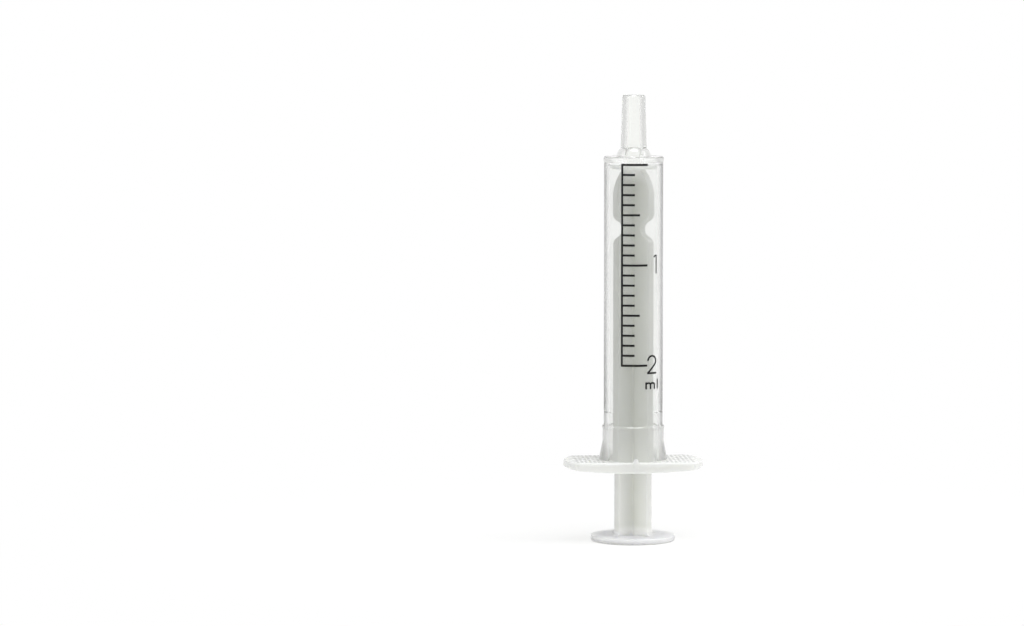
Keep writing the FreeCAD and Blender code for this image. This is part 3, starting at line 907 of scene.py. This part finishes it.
def makeCamera():
    data = bpy.data.cameras.new("camera")
    data.lens = studio["lens"]
    data.sensor_width = studio["sensor"]
    camera = bpy.data.objects.new("camera", data)
    toCamera = direction(studio["azimuth"])
    right = Vector((-toCamera.y, toCamera.x, 0))
    camera.location = (toCamera * studio["distance"] + Vector((0, 0, studio["cameraHeight"]))) * mm
    aim = (right * -studio["aimLeft"] + Vector((0, 0, studio["aimHeight"]))) * mm
    camera.rotation_euler = (aim - camera.location).to_track_quat("-Z", "Y").to_euler()
    data.clip_start, data.clip_end = studio["clip"]
    bpy.context.scene.collection.objects.link(camera)
    bpy.context.scene.camera = camera


def makeLamps():
    for name, lamp in lamps.items():
        data = bpy.data.lights.new(name, "AREA")
        data.shape = "DISK"
        data.size = lamp["size"] * mm
        data.energy = lamp["power"]
        item = bpy.data.objects.new(name, data)
        away = direction(lamp["azimuth"] + studio["azimuth"], lamp["elevation"])
        item.location = (away * lamp["distance"] + Vector((0, 0, studio["aimHeight"]))) * mm
        item.rotation_euler = (-away).to_track_quat("-Z", "Y").to_euler()
        item.visible_transmission = False  # the clear plastic shows only the white around it
        bpy.context.scene.collection.objects.link(item)


def seenMask(tree):
    # 1 for what the camera sees, also through or in the clear plastic
    path = addNode(tree, "ShaderNodeLightPath")
    first = addNode(tree, "ShaderNodeMath", operation="MAXIMUM")
    link(tree, path.outputs["Is Camera Ray"], first.inputs[0])
    link(tree, path.outputs["Is Glossy Ray"], first.inputs[1])
    both = addNode(tree, "ShaderNodeMath", operation="MAXIMUM")
    link(tree, first.outputs[0], both.inputs[0])
    link(tree, path.outputs["Is Transmission Ray"], both.inputs[1])
    return both.outputs[0]


def makeWorld():
    world = bpy.data.worlds.new("studioWorld")
    world.use_nodes = True
    bpy.context.scene.world = world
    tree = world.node_tree
    tree.nodes.clear()
    # white wherever the camera sees it, and softer as a light
    white = addNode(tree, "ShaderNodeBackground", {"Color": (1, 1, 1, 1), "Strength": 1.0})
    soft = addNode(tree, "ShaderNodeBackground", {"Color": (1, 1, 1, 1), "Strength": studio["ambient"]})
    mix = addNode(tree, "ShaderNodeMixShader", {"Fac": seenMask(tree)})
    link(tree, soft.outputs[0], mix.inputs[1])
    link(tree, white.outputs[0], mix.inputs[2])
    output = addNode(tree, "ShaderNodeOutputWorld")
    link(tree, mix.outputs[0], output.inputs["Surface"])


def makeFloor():
    bpy.ops.mesh.primitive_circle_add(vertices=96, radius=studio["floorRadius"], fill_type="NGON")
    floor = bpy.context.object
    floor.name = "floor"
    material = bpy.data.materials.new("paleFloor")
    material.use_nodes = True
    tree = material.node_tree
    tree.nodes.clear()
    place = addNode(tree, "ShaderNodeTexCoord").outputs["Object"]
    away = addNode(tree, "ShaderNodeVectorMath", {0: place}, operation="LENGTH")
    fade = addNode(
        tree, "ShaderNodeMapRange",
        {"Value": away.outputs["Value"], "To Min": studio["fadeStart"],
         "From Min": studio["fadeFrom"] * mm, "From Max": studio["fadeTo"] * mm},
        interpolation_type="SMOOTHSTEP",
    )
    seen = addNode(tree, "ShaderNodeMath", operation="MULTIPLY")
    link(tree, fade.outputs["Result"], seen.inputs[0])
    link(tree, seenMask(tree), seen.inputs[1])
    paper = addNode(
        tree, "ShaderNodeBsdfPrincipled", {"Base Color": studio["floorColour"], "Roughness": 0.8},
    )
    glow = addNode(tree, "ShaderNodeEmission", {"Color": (1, 1, 1, 1), "Strength": 1.0})
    mix = addNode(tree, "ShaderNodeMixShader", {"Fac": seen.outputs[0]})
    link(tree, paper.outputs[0], mix.inputs[1])
    link(tree, glow.outputs[0], mix.inputs[2])
    output = addNode(tree, "ShaderNodeOutputMaterial")
    link(tree, mix.outputs[0], output.inputs["Surface"])
    floor.data.materials.append(material)


moulded = makeMouldedGroup()
clearLooks = {
    "clearWall": wallLook,
    "clearBore": boreLook,
    "hazyEnd": endLook,
    "clearCone": coneLook,
    "clearLumen": lumenLook,
    "hazyFlare": flareLook,
    "milkyFlange": flangeLook,
    "dottedGrip": gripLook,
}
clearFinishes = []
for name, look in clearLooks.items():
    finish = newMaterial(name, look, moulded)
    letLampsThrough(finish, look["lampTint"])
    # painted shade along the outlines of the clear plastic
    if "paintedEdgeShades" in look:
        paintEdgeShade(finish, look["paintedEdgeShades"])
    # painted shade in the hollows of the finger grip
    if "paintedHollowShade" in look:
        paintHollowShade(finish, look["paintedHollowShade"])
    clearFinishes.append(finish)
milkyPlastic = newMaterial("milkyPlastic", milkyLook, moulded)
# painted light at both ends of the plunger
paintEndLight(milkyPlastic, milkyLook)
printInk = newMaterial("printInk", inkLook, moulded)
print("materials made")

barrelPiece = makeBarrel()
for finish in clearFinishes:
    barrelPiece.data.materials.append(finish)
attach(barrelPiece, "barrel")
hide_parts("barrel")
print("barrel made:", len(barrelPiece.data.polygons), "faces")

plungerPiece = makePlunger()
plungerPiece.data.materials.append(milkyPlastic)
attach(plungerPiece, "plunger")
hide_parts("plunger")
print("plunger made:", len(plungerPiece.data.polygons), "faces")

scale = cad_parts["scale_print"]
scale.data.materials.clear()
scale.data.materials.append(printInk)
for name, sign in signs.items():
    piece = makeSign(name, sign)
    piece.data.materials.append(printInk)
    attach(piece, "barrel")
print("print made:", ", ".join(signs))

makeWorld()
makeLamps()
makeFloor()
makeCamera()
bpy.context.scene.view_settings.view_transform = "Standard"
# light takes many turns inside thick clear plastic
light = bpy.context.scene.cycles
light.max_bounces = 40
light.glossy_bounces = 24
light.transmission_bounces = 24
light.transparent_max_bounces = 40
print("studio made")
